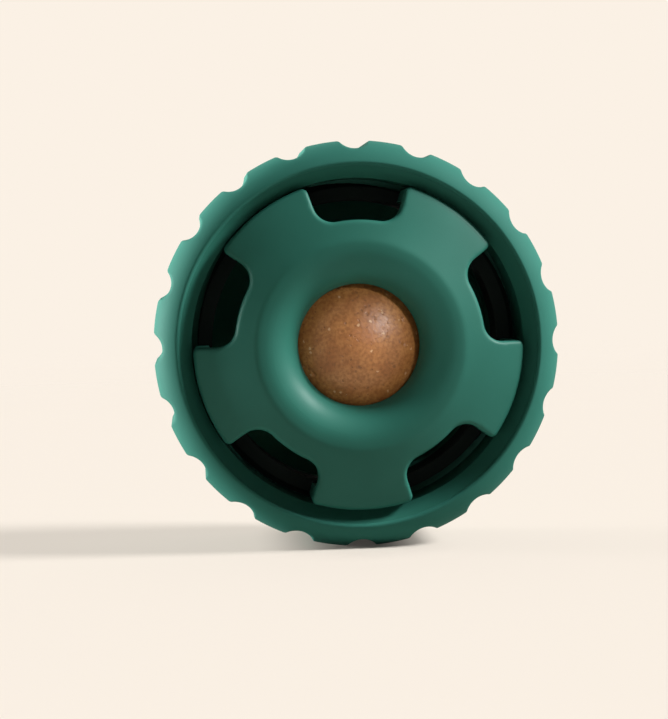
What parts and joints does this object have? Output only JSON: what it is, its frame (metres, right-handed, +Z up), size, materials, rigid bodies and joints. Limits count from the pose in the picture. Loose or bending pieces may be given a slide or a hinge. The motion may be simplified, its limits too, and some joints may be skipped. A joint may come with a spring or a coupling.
{
  "type": "treat dispensing dog toy",
  "caption": "Rubber wheel-shaped dog toy with a blocked tread and slotted domed sides, whose screw cap opens to take a round treat that shows through a funnel mouth.",
  "frame": {"origin": "on the axle line, in the middle of the tread's width", "axes": "+Y along the axle line from the cap to the closed side, +Z up with the toy standing on its tread"},
  "size_m": [0.1098, 0.054, 0.1098],
  "materials": {
    "tread_rubber": "moulded natural rubber, matt, a shade lighter than the shells",
    "green_rubber": "moulded natural rubber, matt with a soft sheen",
    "green_nylon": "moulded nylon, dull, dyed to match the rubber",
    "black_nylon": "moulded nylon, dull",
    "brown_treat": "frozen meat and meal paste, moist, with fine pores"
  },
  "bodies": {
    "body": {"tread_ring": "tread_rubber", "body_thread_collar": "green_nylon", "body_shell": "green_rubber"},
    "treat": {"treat_ball": "brown_treat"},
    "cap": {"cap_thread_collar": "black_nylon", "cap_shell": "green_rubber"}
  },
  "joints": [
    {"name": "cap_turn", "type": "hinge", "parent": "body", "child": "treat", "pos_m": [0, 0, 0], "axis": [0, -1, 0], "range_deg": [0, 360]},
    {"name": "cap_lift", "type": "slide", "parent": "treat", "child": "cap", "axis": [0, -1, 0], "range_m": [0, 0.0121]}
  ],
  "couplings": [
    {"joint": "cap_lift", "follows": "cap_turn", "m_per_rad": 0.0019099}
  ]
}
